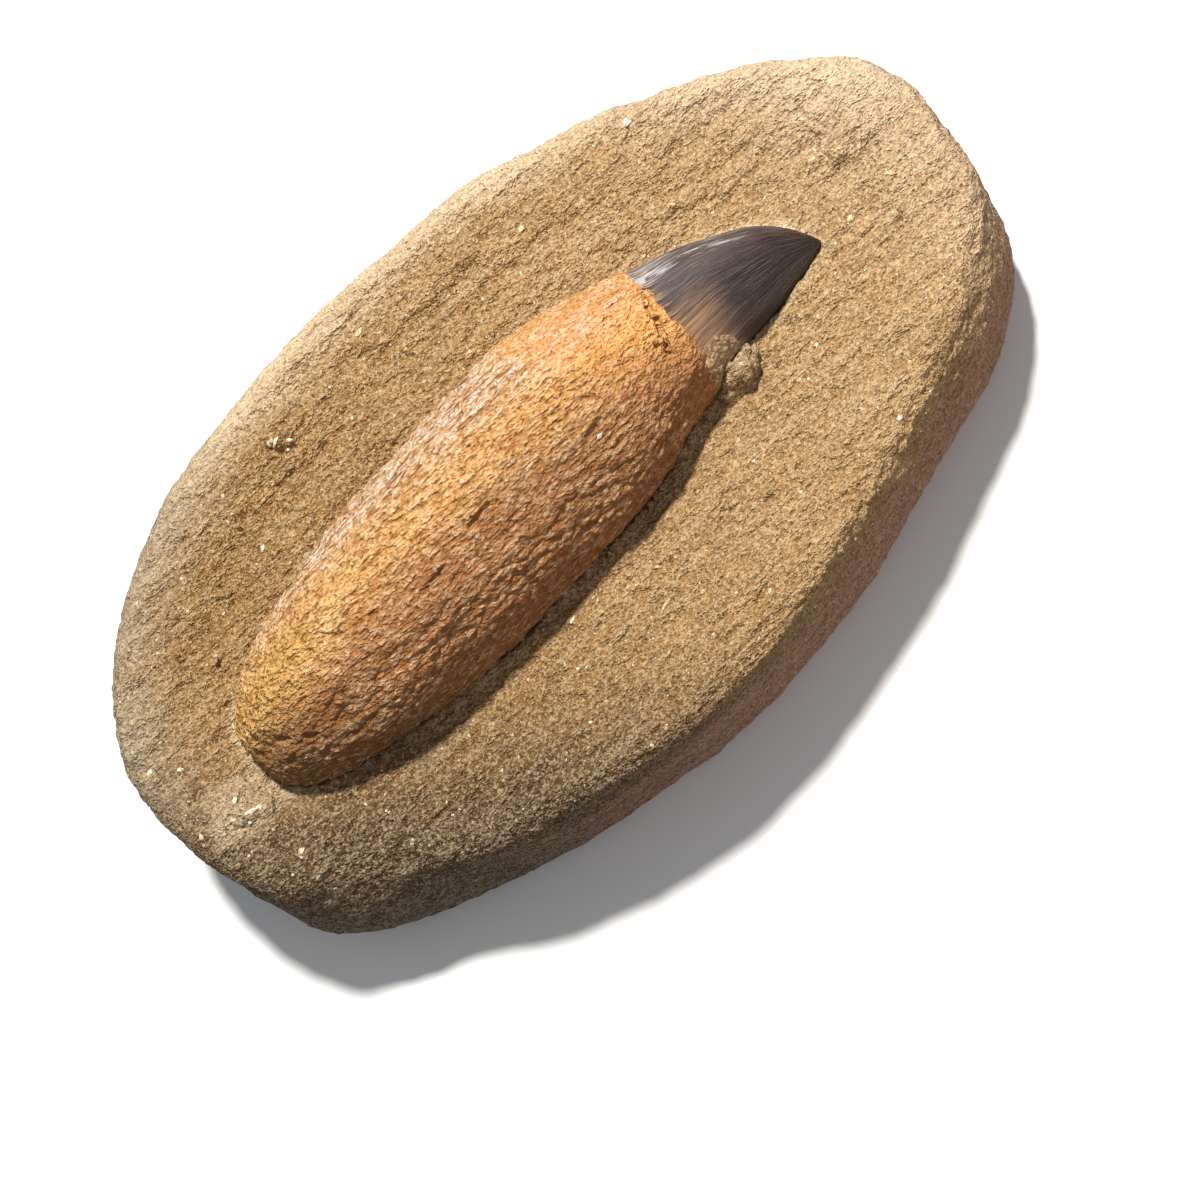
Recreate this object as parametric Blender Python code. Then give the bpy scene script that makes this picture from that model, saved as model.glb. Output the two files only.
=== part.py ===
"""Fossil mosasaur tooth in its matrix.

Two pieces: the tooth, whose crown and root grew as one, and the oval block of sandy matrix that has
been carved back around it.  Metres, +Z up.  The block lies on its flat back at z = 0, its long axis
runs along X, and the crown points to +X.
"""

import math

import bmesh
import bpy
from mathutils import Matrix, Vector, noise

MM = 0.001
GAP = 0.35                      # clearance between the tooth and its pocket in the matrix

# ---- the block of matrix, in millimetres ----
# Plan of the belly, the block's widest line, run anticlockwise from the crown end.  The third figure
# is how far the rim of the top face lies inside the belly there.
BLOCK_PLAN = (
    (70.6, 0.5, 0.6),
    (70.4, 8.0, 0.4),
    (68.0, 14.9, 0.4),
    (57.5, 24.1, 0.6),
    (41.0, 32.2, 0.6),
    (21.5, 38.6, 0.4),
    (-2.0, 40.4, 0.4),
    (-24.0, 39.0, 0.4),
    (-45.0, 34.0, 0.4),
    (-61.0, 23.3, 0.4),
    (-69.8, 9.2, 0.4),
    (-70.0, -4.4, 0.6),
    (-67.2, -16.0, 2.2),
    (-63.6, -23.0, 4.2),
    (-52.0, -29.4, 4.2),
    (-36.0, -34.8, 1.4),
    (-14.0, -38.8, 0.4),
    (8.0, -38.4, 0.3),
    (29.0, -34.3, 1.5),
    (48.0, -29.0, 3.6),
    (62.0, -22.4, 4.4),
    (69.0, -13.0, 2.2),
)
# Section of the side, from the back up: fixed inset, share of the rim's inset, share of its height.
SIDE_SECTION = (
    (5.0, 0.0, 0.0),
    (2.2, 0.0, 0.03),
    (0.7, 0.0, 0.09),
    (0.1, 0.0, 0.24),
    (0.0, 0.0, 0.43),
    (0.0, 0.22, 0.62),
    (0.1, 0.55, 0.80),
    (0.4, 0.88, 0.93),
    (1.6, 1.0, 0.985),
)
TOP_ROWS = (0.05, 0.13, 0.21, 0.29, 0.37, 0.45, 0.53, 0.61, 0.72)     # shares of the way to the axis
BLOCK_COLUMNS = 88              # a multiple of four, so that a vertex lies on each axis
ROW_WANDER = 1.0                # how far the rows of the top face stray sideways

FLOOR_HEIGHT = 24.8             # bottom of the trough, beside the tooth
NEAR_RIM_RISE = 2.8             # gentle slope up to the rim on the -Y side
LEDGES = (                      # steps carved on the +Y side: share of the way in, rise, half-width
    (0.53, 1.2, 0.08),
    (0.29, 1.5, 0.09),
    (0.10, 0.9, 0.09),
)
LEDGE_DRIFT = 0.09              # how far a ledge strays from its place, and over what length
LEDGE_DRIFT_LENGTH = 26.0
SWELLS = (                      # broad rises and hollows of the top face: x, y, height, reach in x, in y
    (-28.0, -17.0, -0.8, 15.0, 5.0),
    (-52.0, -28.0, -4.8, 19.0, 8.5),
    (-58.5, -4.5, 1.3, 5.0, 4.5),
    (-24.0, 29.5, 0.8, 9.0, 3.5),
    (18.0, 21.5, 0.5, 9.0, 3.0),
    (47.0, 19.0, -0.7, 10.0, 6.0),
    (-46.0, 17.0, -0.7, 9.0, 4.0),
    (56.0, 2.0, -0.5, 8.0, 3.0),
    (9.0, -17.0, 1.2, 20.0, 5.5),
    (39.0, -5.0, 2.2, 13.0, 8.0),
)
LUMP_SIZE = 13.0                # spacing and height of the unevenness left by carving
LUMP_HEIGHT = 0.7
CHIP_SIZE = 6.0
CHIP_HEIGHT = 0.45
SIDE_DRESSING_SIZE = 17.0       # broad flats and hollows where the sides were dressed
SIDE_DRESSING_DEPTH = 1.1

# Pits and fused pebbles of the top face: x, y, radius
PITS = (
    (60.4, 12.8, 1.7),
    (55.0, 8.4, 1.9),
    (45.3, 18.9, 1.7),
    (16.0, 24.2, 1.4),
    (-33.6, 23.6, 1.7),
    (-43.5, 17.2, 1.6),
    (-49.0, 11.4, 1.4),
    (27.0, -20.6, 1.5),
)
PEBBLES = (
    (-59.6, -6.9, 1.3),
    (-57.0, -7.6, 1.2),
    (-50.3, 12.4, 1.3),
    (-34.9, 24.2, 1.3),
    (-23.8, 29.3, 1.5),
    (46.2, 19.2, 1.0),
    (57.4, 4.5, 1.4),
    (58.2, -7.1, 1.1),
)
CLINGING_SAND = (               # matrix left standing against the base of the crown: x, y, radius
    (26.4, -7.3, 2.9),
    (29.3, -6.4, 2.3),
)

BALL_UNEVENNESS = 0.5
BALL_LENGTH = 1.35

# ---- the tooth, in millimetres ----
# Stations from the root's end to the crown's tip: x, y and z of the section's centre, half-width,
# half-height, and the rings laid between this station and the next.
TOOTH_STATIONS = (
    (-54.4, -0.8, 26.8, 0.0, 0.0, 1),
    (-53.5, -1.0, 26.9, 4.4, 4.2, 2),
    (-50.5, -1.4, 27.1, 7.9, 7.8, 2),
    (-45.0, -1.4, 27.4, 10.4, 10.6, 4),
    (-34.0, -0.9, 27.8, 12.9, 13.0, 6),
    (-18.0, 0.2, 28.1, 14.4, 14.0, 6),
    (0.0, 1.3, 28.2, 14.6, 14.0, 4),
    (11.0, 2.0, 28.3, 13.9, 13.3, 4),
    (19.5, 2.1, 28.0, 11.3, 11.5, 3),
    (25.2, 2.0, 27.7, 10.1, 10.2, 1),
    (25.7, 2.2, 27.5, 9.7, 9.5, 3),
    (32.0, 2.2, 27.0, 8.1, 8.3, 3),
    (37.0, 1.3, 26.8, 6.8, 6.9, 3),
    (42.0, 0.4, 26.7, 5.0, 4.9, 2),
    (45.4, -1.1, 26.6, 2.7, 2.6, 2),
    (47.4, -2.6, 26.5, 0.0, 0.0, 0),
)
COLLAR_STATION = 9              # where the bone of the root stops and the enamel begins
TOOTH_COLUMNS = 36
CARINA_SHARPNESS = 0.35         # how far the crown's section goes from an oval towards a lens
FIBRE_LENGTH = 16.0             # long low ridges of the root: spacing along and across, height
FIBRE_WIDTH = 4.6
FIBRE_HEIGHT = 1.0
ROOT_LUMP_SIZE = 12.0
ROOT_LUMP_HEIGHT = 0.7
ROOT_PITS = (                   # hollows in the upper side of the root: x, y, depth, reach
    (23.4, 4.0, 0.8, 1.9),
    (18.6, 3.8, 0.7, 1.8),
    (21.5, -1.5, 0.6, 1.8),
    (-51.0, -4.5, 0.7, 2.2),
    (1.0, -2.0, 0.5, 3.0),
)


def smooth(low, high, value):
    """0 below low, 1 above high, and an even slope between."""
    t = min(max((value - low) / (high - low), 0.0), 1.0)
    return t * t * (3.0 - 2.0 * t)


def spline(rows, place, closed=False):
    """Values of a smooth curve through rows of numbers, at a place counted in rows."""
    count = len(rows)
    start = math.floor(place)
    t = place - start
    picked = []
    for step in (-1, 0, 1, 2):
        index = start + step
        picked.append(rows[index % count] if closed else rows[min(max(index, 0), count - 1)])
    return [0.5 * (2.0 * b + (c - a) * t + (2.0 * a - 5.0 * b + 4.0 * c - d) * t * t
                   + (3.0 * b - a - 3.0 * c + d) * t ** 3)
            for a, b, c, d in zip(*picked)]


def swell(x, y, mid_x, mid_y, reach_x, reach_y):
    """A round hump of height 1."""
    return math.exp(-((x - mid_x) / reach_x) ** 2 - ((y - mid_y) / reach_y) ** 2)


# ---- shape of the matrix ----

def plan_point(turn, inset_share, fixed_inset):
    """Point of the block's plan at a turn from 0 to 1, moved in from the belly."""
    place = turn * len(BLOCK_PLAN)
    x, y, rim_inset = spline(BLOCK_PLAN, place, closed=True)
    ahead = spline(BLOCK_PLAN, place + 0.05, closed=True)
    behind = spline(BLOCK_PLAN, place - 0.05, closed=True)
    along = Vector((ahead[0] - behind[0], ahead[1] - behind[1])).normalized()
    inset = fixed_inset + inset_share * rim_inset
    return x - along.y * inset, y + along.x * inset


def axis_point(x):
    """Nearest point of the tooth's axis, which the rows of the top face close in on."""
    return min(max(0.6 * x, -38.0), 31.0), 1.0


def top_height(x, y, share):
    """Height of the carved face; share is 0 at the rim and 1 at the tooth's axis."""
    near = NEAR_RIM_RISE * (1.0 - smooth(0.0, 0.62, share))
    far = 0.0
    for at, rise, half in LEDGES:
        drift = LEDGE_DRIFT * noise.noise(Vector((x / LEDGE_DRIFT_LENGTH, 7.0 * at, 0.0)))
        far += rise * (1.0 - smooth(at + drift - half, at + drift + half, share))
    side = smooth(-12.0, 14.0, y)
    humps = sum(height * swell(x, y, mid_x, mid_y, reach_x, reach_y)
                for mid_x, mid_y, height, reach_x, reach_y in SWELLS)
    return FLOOR_HEIGHT + near + (far - near) * side + humps


def block_point(row, turn):
    """Place of one vertex of the block, rows counted from the middle of the back."""
    rim_x, rim_y = plan_point(turn, 1.0, SIDE_SECTION[-1][0])
    rim_height = top_height(rim_x, rim_y, 0.0)
    if row < len(SIDE_SECTION):
        fixed_inset, inset_share, height_share = SIDE_SECTION[row]
        x, y = plan_point(turn, inset_share, fixed_inset)
        return Vector((x, y, rim_height * height_share))
    share = TOP_ROWS[row - len(SIDE_SECTION)]
    axis_x, axis_y = axis_point(rim_x)
    x = rim_x + (axis_x - rim_x) * share
    y = rim_y + (axis_y - rim_y) * share
    stray = ROW_WANDER * noise.noise_vector(Vector((x, y, 0.0)) / 5.0)
    x, y = x + stray.x, y + stray.y
    return Vector((x, y, top_height(x, y, share)))


def carve_marks(point):
    """Unevenness of the carved surface at a point, outwards; none on the flat back."""
    lumps = LUMP_HEIGHT * noise.noise(point / LUMP_SIZE)
    along_strokes = Vector((point.x / (2.5 * CHIP_SIZE), point.y / CHIP_SIZE, point.z / CHIP_SIZE))
    chips = CHIP_HEIGHT * noise.noise(along_strokes)
    dressing = SIDE_DRESSING_DEPTH * noise.noise(point / SIDE_DRESSING_SIZE + Vector((4.0, 9.0, 1.0)))
    on_side = 1.0 - smooth(FLOOR_HEIGHT - 5.0, FLOOR_HEIGHT, point.z)
    return (lumps + chips + dressing * on_side) * smooth(0.2, 5.0, point.z)


# ---- shape of the tooth ----

def tooth_rings():
    """Centre, half-width and half-height of every ring, with its place counted in stations."""
    rings = []
    for station, row in enumerate(TOOTH_STATIONS):
        for step in range(row[-1]):
            place = station + step / row[-1]
            rings.append((place, spline(TOOTH_STATIONS, place)))
    return rings


def tooth_point(ring, turn):
    """Place of one vertex of the tooth: ring from tooth_rings, turn from 0 to 1 about the axis."""
    place, (x, y, z, half_width, half_height, _) = ring
    lens = CARINA_SHARPNESS * smooth(COLLAR_STATION, COLLAR_STATION + 4, place)
    angle = 2.0 * math.pi * turn
    across, up = math.cos(angle), math.sin(angle)
    flatten = 1.0 - lens * (1.0 - abs(up)) * abs(across)
    return Vector((x, y + half_width * across, z + half_height * up * flatten))


def bone_relief(point, place):
    """Ridges, lumps and pits of the root's surface at a point, outwards; none on the crown."""
    fibres = FIBRE_HEIGHT * noise.noise(Vector((point.x / FIBRE_LENGTH, point.y / FIBRE_WIDTH,
                                                point.z / FIBRE_WIDTH)))
    lumps = ROOT_LUMP_HEIGHT * noise.noise(point / ROOT_LUMP_SIZE + Vector((7.0, 3.0, 5.0)))
    pits = 0.0
    if point.z > FLOOR_HEIGHT:
        pits = sum(depth * swell(point.x, point.y, x, y, reach, reach)
                   for x, y, depth, reach in ROOT_PITS)
    ends = smooth(0.0, 1.5, place) * (1.0 - smooth(COLLAR_STATION - 0.4, COLLAR_STATION, place))
    return (fibres + lumps - pits) * ends


# ---- building ----

def ringed_solid(rings, columns, place_vertex, poles):
    """A sphere primitive whose rings are laid where place_vertex says, and its poles on poles."""
    bm = bmesh.new()
    bmesh.ops.create_uvsphere(bm, u_segments=columns, v_segments=rings + 1, radius=1.0)
    rows = {}
    for vertex in bm.verts:
        row = round(math.acos(max(-1.0, min(1.0, -vertex.co.z))) / math.pi * (rings + 1))
        turn = (math.atan2(vertex.co.y, vertex.co.x) / (2.0 * math.pi)) % 1.0
        rows[vertex] = (row, round(turn * columns) % columns / columns)
    for vertex, (row, turn) in rows.items():
        if row == 0:
            vertex.co = Vector(poles[0])
        elif row == rings + 1:
            vertex.co = Vector(poles[1])
        else:
            vertex.co = place_vertex(row - 1, turn)
    bm.normal_update()
    bmesh.ops.recalc_face_normals(bm, faces=bm.faces)
    bm.normal_update()
    return bm, rows


def raise_surface(bm, amount):
    """Moves every vertex along its normal by amount(vertex), all measured before any moves."""
    moves = [(vertex, vertex.normal * amount(vertex)) for vertex in bm.verts]
    for vertex, move in moves:
        vertex.co += move
    bm.normal_update()


def new_object(name, bm, collection, *materials):
    """Turns a mesh in millimetres into an object in metres."""
    bmesh.ops.scale(bm, vec=(MM, MM, MM), verts=bm.verts)
    bmesh.ops.recalc_face_normals(bm, faces=bm.faces)
    mesh = bpy.data.meshes.new(name)
    bm.to_mesh(mesh)
    bm.free()
    for material in materials:
        mesh.materials.append(material)
    thing = bpy.data.objects.new(name, mesh)
    collection.objects.link(thing)
    return thing


def new_material(name, colour, roughness):
    material = bpy.data.materials.new(name)
    material.use_nodes = True
    shader = material.node_tree.nodes["Principled BSDF"]
    shader.inputs["Base Color"].default_value = (*colour, 1.0)
    shader.inputs["Roughness"].default_value = roughness
    shader.inputs["Metallic"].default_value = 0.0
    material.diffuse_color = (*colour, 1.0)
    return material


def tooth_mesh(growth=0.0):
    """The tooth's surface, grown outwards by growth for the pocket that it lies in."""
    rings = tooth_rings()
    first, *_, last = TOOTH_STATIONS
    bm, rows = ringed_solid(len(rings) - 1, TOOTH_COLUMNS,
                            lambda row, turn: tooth_point(rings[row + 1], turn),
                            (first[:3], last[:3]))
    places = {vertex: rings[row][0] if row < len(rings) else len(TOOTH_STATIONS) - 1
              for vertex, (row, _) in rows.items()}
    raise_surface(bm, lambda vertex: bone_relief(vertex.co, places[vertex]))
    if growth:
        raise_surface(bm, lambda vertex: growth)
    return bm


def build_tooth(collection):
    bone = new_material("root_bone", (0.52, 0.27, 0.09), 0.8)
    enamel = new_material("crown_enamel", (0.06, 0.045, 0.04), 0.35)
    tooth = new_object("tooth", tooth_mesh(), collection, bone, enamel)
    collar = TOOTH_STATIONS[COLLAR_STATION][0] * MM
    for face in tooth.data.polygons:
        face.material_index = 1 if face.center.x > collar else 0
    return tooth


def build_block():
    rows = len(SIDE_SECTION) + len(TOP_ROWS)
    top_x, top_y = axis_point(0.0)
    poles = ((0.0, 0.0, 0.0), (top_x, top_y, top_height(top_x, top_y, 1.0)))
    bm, _ = ringed_solid(rows, BLOCK_COLUMNS, block_point, poles)
    raise_surface(bm, lambda vertex: carve_marks(vertex.co))
    return bm


def rough_balls(block, places, squash, lift):
    """Small uneven balls on the block's top face, for pits to cut out or for pebbles to join on."""
    bm = bmesh.new()
    for x, y, radius in places:
        ball = bmesh.ops.create_icosphere(bm, subdivisions=2, radius=radius)["verts"]
        for vertex in ball:
            vertex.co *= 1.0 + BALL_UNEVENNESS * noise.noise(1.4 * vertex.co / radius + Vector((x, y, 0.0)))
        _, face, *_ = block.ray_cast(Vector((x, y, 60.0)) * MM, Vector((0.0, 0.0, -1.0)))
        bmesh.ops.scale(bm, vec=(BALL_LENGTH, 1.0, squash), verts=ball)
        bmesh.ops.rotate(bm, cent=(0.0, 0.0, 0.0), matrix=Matrix.Rotation(x + y, 3, "Z"), verts=ball)
        bmesh.ops.translate(bm, vec=(x, y, face.z / MM + lift * radius), verts=ball)
    return bm


def centre_on_footprint(things, block):
    """Moves every mesh so that the block's footprint is centred on the origin."""
    corners = [Vector(corner) for corner in block.bound_box]
    middle = (min(corners, key=sum) + max(corners, key=sum)) / 2.0
    for thing in things:
        thing.data.transform(Matrix.Translation((-middle.x, -middle.y, 0.0)))


def boolean(thing, cutter, operation):
    step = thing.modifiers.new(cutter.name, "BOOLEAN")
    step.object = cutter
    step.operation = operation
    step.solver = "EXACT"
    step.use_self = operation == "UNION"        # neighbouring pebbles run into each other


def main():
    for thing in list(bpy.data.objects):
        bpy.data.objects.remove(thing, do_unlink=True)
    parts = bpy.data.collections.new("fossil_mosasaur_tooth")
    cutters = bpy.data.collections.new("cutters")
    for collection in (parts, cutters):
        bpy.context.scene.collection.children.link(collection)

    tooth = build_tooth(parts)
    stone = new_material("sandy_matrix", (0.42, 0.27, 0.12), 0.95)
    matrix = new_object("matrix", build_block(), parts, stone)

    pebbles = new_object("fused_pebbles", rough_balls(matrix, PEBBLES, 0.75, 0.0), cutters, stone)
    clump = new_object("clinging_sand", rough_balls(matrix, CLINGING_SAND, 1.2, 0.3), cutters, stone)
    pits = new_object("pits", rough_balls(matrix, PITS, 0.6, 0.2), cutters, stone)
    pocket = new_object("tooth_pocket", tooth_mesh(growth=GAP), cutters, stone)
    centre_on_footprint((tooth, matrix, pebbles, clump, pits, pocket), matrix)
    boolean(matrix, pebbles, "UNION")
    boolean(matrix, clump, "UNION")
    boolean(matrix, pits, "DIFFERENCE")
    boolean(matrix, pocket, "DIFFERENCE")
    for cutter in (pebbles, clump, pits, pocket):
        cutter.hide_render = True
        cutter.display_type = "WIRE"


main()
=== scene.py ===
"""Fossil mosasaur tooth in its matrix: the looks.

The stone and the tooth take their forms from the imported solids.  Each is copied, rounded over, and
given the relief of carved sandy matrix and of fossil bone and enamel; loose grains, chips of shell
and the sand that still clings to the tooth are laid over them.  Metres, +Z up, the crown to +X.
"""

import math

import bpy
import numpy as np
from mathutils import Matrix, Quaternion, Vector
from mathutils.bvhtree import BVHTree


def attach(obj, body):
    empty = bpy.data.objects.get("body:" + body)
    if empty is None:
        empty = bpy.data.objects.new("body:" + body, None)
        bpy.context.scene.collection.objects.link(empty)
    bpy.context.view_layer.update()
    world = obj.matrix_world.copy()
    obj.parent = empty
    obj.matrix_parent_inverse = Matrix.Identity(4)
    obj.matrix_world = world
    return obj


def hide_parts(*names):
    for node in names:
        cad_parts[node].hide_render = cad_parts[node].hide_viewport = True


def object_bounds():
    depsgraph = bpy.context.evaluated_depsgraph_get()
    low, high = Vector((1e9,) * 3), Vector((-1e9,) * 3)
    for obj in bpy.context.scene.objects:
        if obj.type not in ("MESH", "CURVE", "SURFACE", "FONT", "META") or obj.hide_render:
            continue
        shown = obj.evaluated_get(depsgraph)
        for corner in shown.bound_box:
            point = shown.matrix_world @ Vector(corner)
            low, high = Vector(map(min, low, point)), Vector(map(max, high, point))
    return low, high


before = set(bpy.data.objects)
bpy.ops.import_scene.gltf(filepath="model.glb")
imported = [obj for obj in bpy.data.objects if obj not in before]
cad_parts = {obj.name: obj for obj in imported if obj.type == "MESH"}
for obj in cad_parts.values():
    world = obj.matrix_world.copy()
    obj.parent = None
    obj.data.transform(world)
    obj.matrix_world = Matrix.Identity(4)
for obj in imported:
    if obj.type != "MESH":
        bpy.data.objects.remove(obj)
cad_low, cad_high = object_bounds()

MM = 0.001

# ---- how finely the two solids are worked over, in millimetres ----
STONE_VOXEL = 0.34
STONE_ROUNDING = 12             # passes of smoothing that take off the facets
CLUMP_ROUNDING = 110            # more of it on the sand by the crown's base
STONE_TRIANGLES = 196000
TOOTH_VOXEL = 0.21
ROOT_ROUNDING = 100
CROWN_ROUNDING = 80
TOOTH_TRIANGLES = 184000
CRUMBS = 9400                   # in each spread of sand crumbs
CLINGING_GRAINS = 2400          # of sand on the tooth
CLINGING_TRIES = 26000          # spots looked at to find them
WEIGHT_STEPS = 12
HALF_LENGTH = 70.6              # of the block's oval plan
HALF_WIDTH = 40.0
CONTACT_REACH = 4.0             # how far from the tooth the stone still counts as near it

COLLAR_X = 24.9                 # where bone ends and enamel begins
CROWN_TIP_X = 47.0
CROWN_BASE = (26.2, -6.8, 30.5)    # lower corner of the crown, where sand still covers it
CROWN_AXIS = (                  # middle of the crown's section: x, y, z
    (24.0, 1.4, 27.8),
    (31.6, 1.5, 27.0),
    (36.6, 0.6, 26.8),
    (41.6, -0.3, 26.7),
    (45.0, -1.8, 26.6),
    (47.0, -3.3, 26.5),
)
# Cracks and holes in the bone, most of them by the collar: line of x and y, half-width, depth
CRACKS = (
    (((23.3, 0.4), (22.6, -1.2), (22.4, -2.6), (21.5, -3.4), (21.6, -4.6)), 0.50, 0.95),
    (((24.3, 4.4), (23.6, 3.0), (23.7, 1.9), (23.0, 1.0)), 0.42, 0.75),
    (((21.9, -2.6), (20.9, -2.2)), 0.36, 0.60),
    (((20.4, 0.3), (19.4, 0.0)), 0.34, 0.45),
    (((24.0, 3.4), (23.4, 2.6)), 0.30, 0.45),
    (((9.0, -1.4), (10.6, -2.4)), 0.42, 0.50),
    (((6.4, -5.4), (9.4, -5.0)), 0.40, 0.50),
    (((-1.5, 0.6), (1.6, 0.2)), 0.45, 0.50),
    (((-12.0, -4.0), (-8.4, -3.6)), 0.40, 0.45),
    (((-22.0, -6.0), (-17.5, -5.6)), 0.42, 0.45),
    (((-31.0, -3.0), (-28.4, -3.4)), 0.38, 0.40),
    (((-49.2, -5.0), (-48.0, -6.4)), 0.60, 0.55),
    (((-46.2, -7.6), (-44.6, -8.6)), 0.55, 0.50),
)

# Chips of shell in the sand: x, y, length, breadth, turn in degrees, whiteness
CHIPS = (
    (-59.8, -4.9, 1.5, 1.0, 30.0, 0.80),
    (-59.2, -7.7, 2.6, 0.9, -18.0, 0.85),
    (-58.0, -7.9, 1.4, 1.2, 50.0, 0.60),
    (-59.9, -8.5, 1.9, 0.8, 8.0, 0.90),
    (-61.6, -6.8, 1.2, 0.8, -40.0, 0.55),
    (-66.4, 6.2, 1.5, 1.0, 20.0, 0.70),
    (-63.0, 3.7, 1.4, 0.7, -30.0, 0.75),
    (-57.6, -15.9, 1.6, 1.1, 10.0, 0.65),
    (-66.4, -5.4, 1.3, 0.9, 70.0, 0.55),
    (-24.2, 27.9, 2.2, 0.7, 25.0, 0.85),
    (-22.9, 27.2, 1.8, 0.7, -35.0, 0.80),
    (-23.8, 26.7, 1.1, 0.6, 80.0, 0.70),
    (-6.1, 31.9, 1.9, 1.0, 15.0, 0.60),
    (3.1, 19.6, 1.5, 0.7, -10.0, 0.70),
    (-35.4, 19.3, 1.4, 0.8, 35.0, 0.75),
    (53.9, 6.2, 1.6, 0.8, -20.0, 0.70),
    (-0.6, -24.8, 3.0, 0.7, 12.0, 0.60),
    (-11.0, -17.6, 1.7, 0.6, 20.0, 0.80),
    (19.6, 27.0, 1.5, 1.0, 0.0, 0.60),
    (39.8, 27.4, 1.7, 1.3, 10.0, 1.00),
    (18.4, -17.4, 1.5, 0.9, 30.0, 0.10),
    (59.5, -3.0, 1.8, 0.9, -50.0, 0.60),
    (51.8, -3.4, 1.3, 0.8, 15.0, 0.65),
    (37.6, -28.2, 1.3, 1.0, 0.0, 0.95),
    (10.4, -33.2, 1.4, 0.8, 25.0, 0.90),
    (-31.7, 14.6, 1.6, 1.4, 0.0, 0.35),
)
# Single grains caught on the root: x, y, size, whiteness
CAUGHT_GRAINS = (
    (-2.6, -1.8, 1.3, 0.45),
    (7.6, -6.3, 1.2, 0.95),
    (-12.3, -5.6, 1.2, 0.20),
    (-8.8, 0.8, 0.9, 0.75),
    (4.2, 2.6, 0.8, 0.90),
    (-19.0, -5.0, 0.9, 0.30),
)


# ---- bench work ----
def pick(piece):
    """Leaves one piece selected and active."""
    bpy.ops.object.select_all(action="DESELECT")
    piece.select_set(True)
    bpy.context.view_layer.objects.active = piece


def work(piece, kind, **settings):
    """Puts a modifier on a piece and applies it."""
    pick(piece)
    modifier = piece.modifiers.new(kind, kind)
    for name, value in settings.items():
        setattr(modifier, name, value)
    bpy.ops.object.modifier_apply(modifier=modifier.name)


def taken_from(node, name):
    """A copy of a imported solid, its loose triangles joined up."""
    piece = bpy.data.objects.new(name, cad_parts[node].data.copy())
    piece.data.name = name
    piece.data.materials.clear()
    bpy.context.collection.objects.link(piece)
    pick(piece)
    bpy.ops.object.mode_set(mode="EDIT")
    bpy.ops.mesh.select_all(action="SELECT")
    bpy.ops.mesh.remove_doubles(threshold=0.00001)
    bpy.ops.object.mode_set(mode="OBJECT")
    return piece


def places(piece):
    """Vertex places of a piece, in millimetres."""
    flat = np.empty(len(piece.data.vertices) * 3, np.float32)
    piece.data.vertices.foreach_get("co", flat)
    return flat.reshape(-1, 3).astype(float) / MM


def move_to(piece, spots):
    """Puts the vertices of a piece at these places, in millimetres."""
    piece.data.vertices.foreach_set("co", (np.asarray(spots) * MM).astype(np.float32).ravel())
    piece.data.update()


def facing(piece):
    """Vertex normals of a piece."""
    flat = np.empty(len(piece.data.vertices) * 3, np.float32)
    piece.data.vertex_normals.foreach_get("vector", flat)
    return flat.reshape(-1, 3).astype(float)


def weigh(piece, name, weights):
    """A vertex group from one weight a vertex, rounded to a few steps."""
    group = piece.vertex_groups.new(name=name)
    level = np.rint(np.clip(weights, 0.0, 1.0) * WEIGHT_STEPS).astype(int)
    for step in range(1, WEIGHT_STEPS + 1):
        members = np.nonzero(level == step)[0].tolist()
        if members:
            group.add(members, step / WEIGHT_STEPS, "REPLACE")


def step_up(low, high, value):
    """0 below low, 1 above high, smooth between."""
    t = np.clip((value - low) / (high - low), 0.0, 1.0)
    return t * t * (3.0 - 2.0 * t)


def relief(piece, kind, height, grain, weights):
    """Raises a pattern on a piece. The grain is the pattern's size along X, Y and Z, in millimetres."""
    texture = bpy.data.textures.new(kind, kind)
    texture.noise_scale = 1.0
    if kind == "CLOUDS":
        texture.noise_depth = 1
    bpy.ops.object.empty_add(location=(0.0, 0.0, 0.0))
    ruler = bpy.context.object
    ruler.scale = tuple(size * MM for size in grain)
    bpy.context.view_layer.update()
    work(piece, "DISPLACE", texture=texture, texture_coords="OBJECT", texture_coords_object=ruler,
         strength=height * MM, mid_level=0.5, vertex_group=weights)
    bpy.data.objects.remove(ruler)
    bpy.data.textures.remove(texture)


def thin_out(piece, triangles):
    """Brings a piece down to a count of triangles, first where it isn't marked as kept."""
    piece.data.calc_loop_triangles()
    work(piece, "DECIMATE", ratio=triangles / len(piece.data.loop_triangles),
         vertex_group="kept", vertex_group_factor=0.25, invert_vertex_group=True)


# ---- finishes ----
class Reading:
    """A value read off the surface; sums on it add Math nodes."""

    def __init__(self, finish, socket):
        self.finish = finish
        self.socket = socket

    def sum(self, operation, *others):
        values = {place: other for place, other in enumerate(others)}
        return self.finish.add("ShaderNodeMath", {"operation": operation}, values)

    def __add__(self, other):
        return self.sum("ADD", self, other)

    def __radd__(self, other):
        return self.sum("ADD", other, self)

    def __sub__(self, other):
        return self.sum("SUBTRACT", self, other)

    def __rsub__(self, other):
        return self.sum("SUBTRACT", other, self)

    def __mul__(self, other):
        return self.sum("MULTIPLY", self, other)

    def __rmul__(self, other):
        return self.sum("MULTIPLY", other, self)

    def __truediv__(self, other):
        return self.sum("DIVIDE", self, other)


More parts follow.
